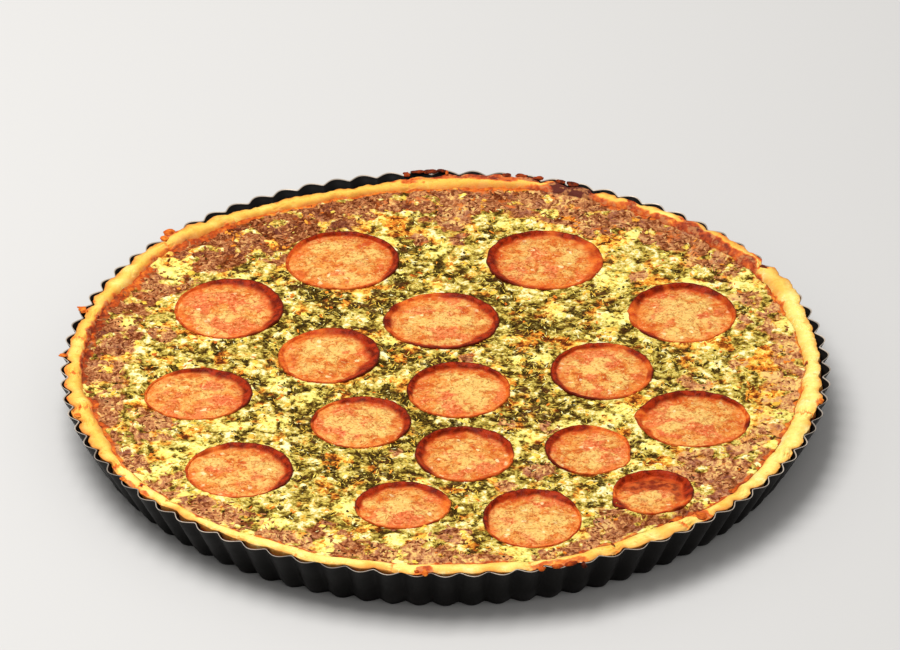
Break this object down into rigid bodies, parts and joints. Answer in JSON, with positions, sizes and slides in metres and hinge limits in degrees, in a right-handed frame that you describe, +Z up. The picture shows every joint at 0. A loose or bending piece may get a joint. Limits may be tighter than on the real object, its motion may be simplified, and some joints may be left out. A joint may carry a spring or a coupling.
{
  "type": "onion and sausage tart",
  "caption": "Round open tart in a shallow black fluted tin: a pastry case with a set herb, onion and cheese filling and round slices of sausage baked into its top.",
  "frame": {"origin": "middle of the underside of the tin's flat base", "axes": "+Z up, out of the tart's top; X and Y lie in the base, with -Y towards the viewer"},
  "size_m": [0.28, 0.28, 0.0208],
  "materials": {
    "tin_coating": "black non-stick coating, semi-gloss, worn to bare steel along the cut rim",
    "pastry": "baked shortcrust, dry and slightly rough, browned at its edges",
    "filling": "set egg and cheese flecked with dark green herbs, moist, browned in patches near the rim",
    "sausage": "coarse cooked sausage with a greasy sheen and a dark red-brown skin"
  },
  "bodies": {
    "root": {"tin": "tin_coating", "pastry_case": "pastry", "filling": "filling", "sausage_slice_01": "sausage", "sausage_slice_02": "sausage", "sausage_slice_03": "sausage", "sausage_slice_04": "sausage", "sausage_slice_05": "sausage", "sausage_slice_06": "sausage", "sausage_slice_07": "sausage", "sausage_slice_08": "sausage", "sausage_slice_09": "sausage", "sausage_slice_10": "sausage", "sausage_slice_11": "sausage", "sausage_slice_12": "sausage", "sausage_slice_13": "sausage", "sausage_slice_14": "sausage", "sausage_slice_15": "sausage", "sausage_slice_16": "sausage", "sausage_slice_17": "sausage"}
  },
  "joints": []
}
